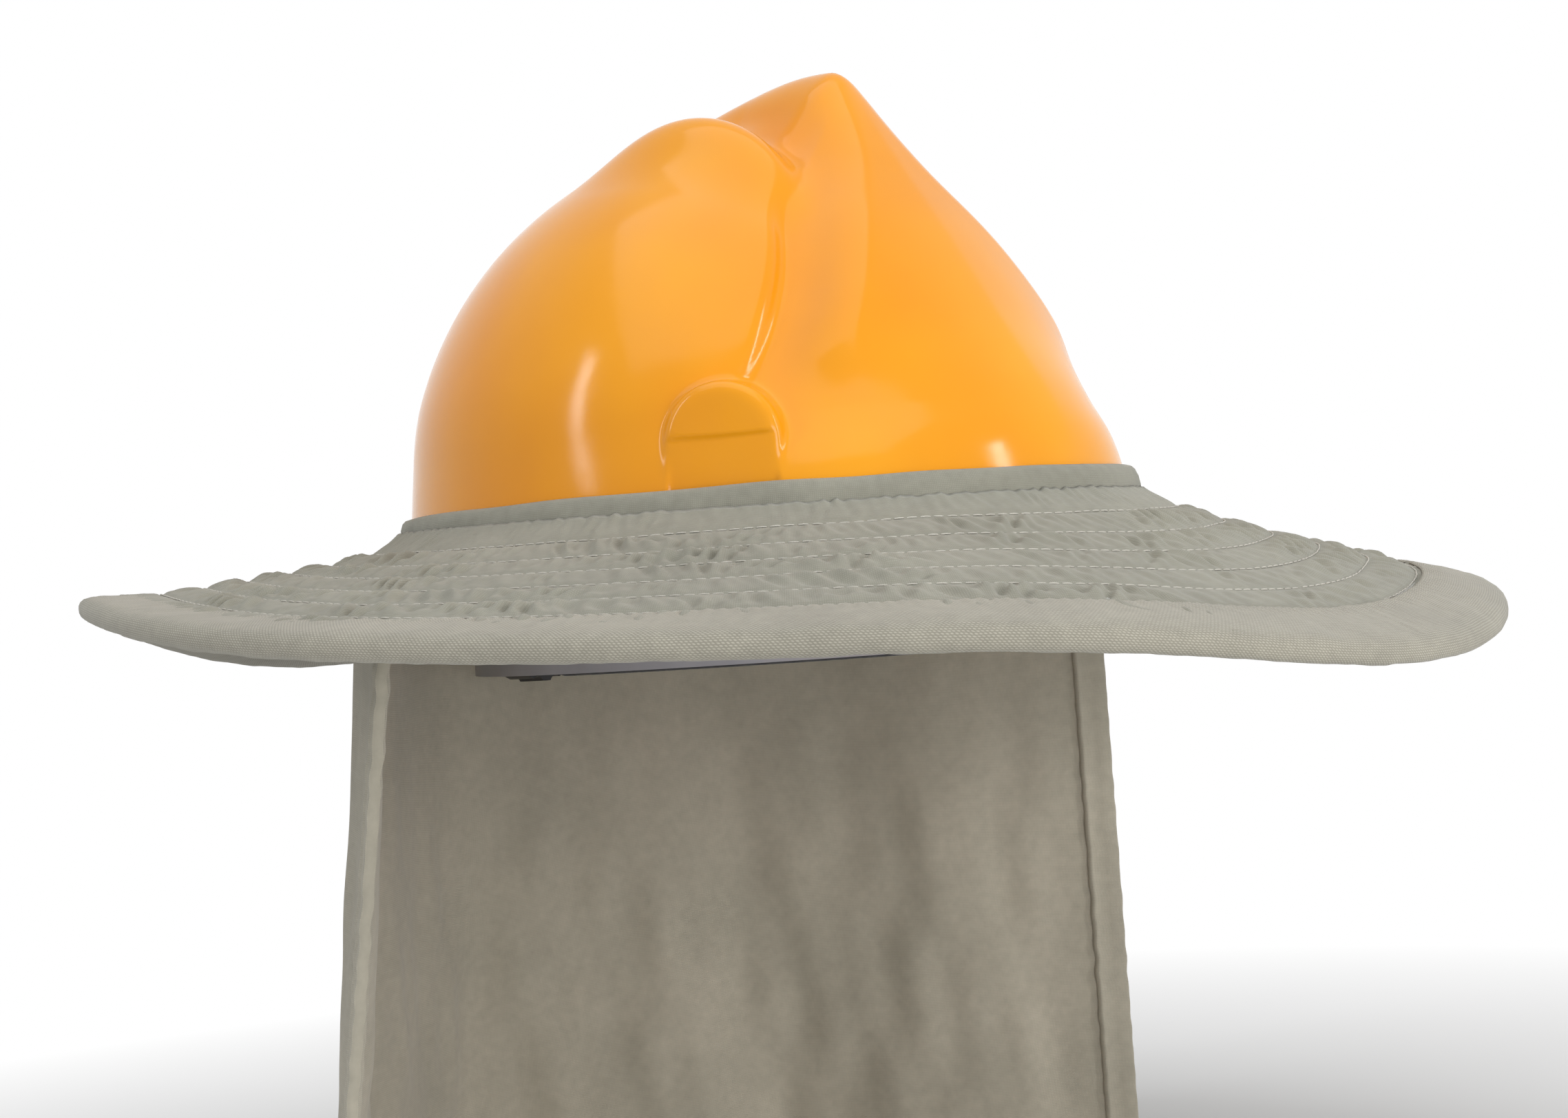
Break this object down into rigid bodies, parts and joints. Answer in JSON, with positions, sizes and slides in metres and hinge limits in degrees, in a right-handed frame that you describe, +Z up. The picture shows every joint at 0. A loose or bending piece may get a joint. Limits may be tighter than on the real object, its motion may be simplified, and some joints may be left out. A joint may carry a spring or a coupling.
{
  "type": "hard hat with full brim sun shade",
  "caption": "Ridged cap-style hard hat with ratchet suspension, wearing a fabric sun shade with a full stiffened brim, bound edge and neck curtain.",
  "frame": {"origin": "centre of the headband opening, level with the headband's lower edge", "axes": "+Z up out of the crown, -Y to the front, -X to the wearer's right"},
  "size_m": [0.4438, 0.454, 0.38],
  "materials": {
    "shell_plastic": "glossy, lightly grained",
    "suspension_plastic": "satin moulded",
    "sweat_foam": "soft, cloth-faced foam",
    "webbing": "woven",
    "ratchet_plastic": "satin moulded",
    "screw_steel": "zinc plated",
    "khaki_cloth": "plain weave",
    "binding_twill": "twill",
    "lining_cloth": "plain weave",
    "foam_sheet": "closed-cell foam",
    "elastic": "knitted elastic"
  },
  "bodies": {
    "hat": {"shell": "shell_plastic", "headband": "suspension_plastic", "sweatband": "sweat_foam", "hanger_key_front_right": "suspension_plastic", "hanger_key_front_left": "suspension_plastic", "hanger_key_rear_right": "suspension_plastic", "hanger_key_rear_left": "suspension_plastic", "crown_strap_lower": "webbing", "crown_strap_upper": "webbing", "ratchet_base": "ratchet_plastic", "ratchet_cover": "ratchet_plastic", "detent_spring": "ratchet_plastic", "nape_pad": "sweat_foam"},
    "left_band_end": {"left_rack_strap": "suspension_plastic"},
    "right_band_end": {"right_rack_strap": "suspension_plastic"},
    "adjuster_knob": {"ratchet_knob": "ratchet_plastic", "ratchet_pinion": "ratchet_plastic", "pinion_screw": "screw_steel"},
    "sun_shade": {"collar_band": "khaki_cloth", "collar_elastic": "elastic", "brim_top_cloth": "khaki_cloth", "brim_stiffener": "foam_sheet", "brim_lining": "lining_cloth", "brim_binding": "binding_twill", "neck_curtain": "lining_cloth", "curtain_hem_left": "lining_cloth", "curtain_hem_right": "lining_cloth", "curtain_seam_tape": "lining_cloth"}
  },
  "joints": [
    {"name": "knob_turn", "type": "hinge", "parent": "hat", "child": "adjuster_knob", "pos_m": [0, 0.1, 0.014], "axis": [0, 1, 0], "range_deg": [-280, 280]},
    {"name": "left_rack_slide", "type": "hinge", "parent": "hat", "child": "left_band_end", "pos_m": [0, 0.02, 0.014], "axis": [0, 0, 1], "range_deg": [-18, 18]},
    {"name": "right_rack_slide", "type": "hinge", "parent": "hat", "child": "right_band_end", "pos_m": [0, 0.02, 0.014], "axis": [0, 0, 1], "range_deg": [-18, 18]},
    {"name": "shade_lift", "type": "slide", "parent": "hat", "child": "sun_shade", "axis": [0, 0, 1], "range_m": [0, 0.16]}
  ],
  "couplings": [
    {"joint": "left_rack_slide", "follows": "knob_turn", "ratio": -0.063492},
    {"joint": "right_rack_slide", "follows": "knob_turn", "ratio": 0.062073}
  ]
}
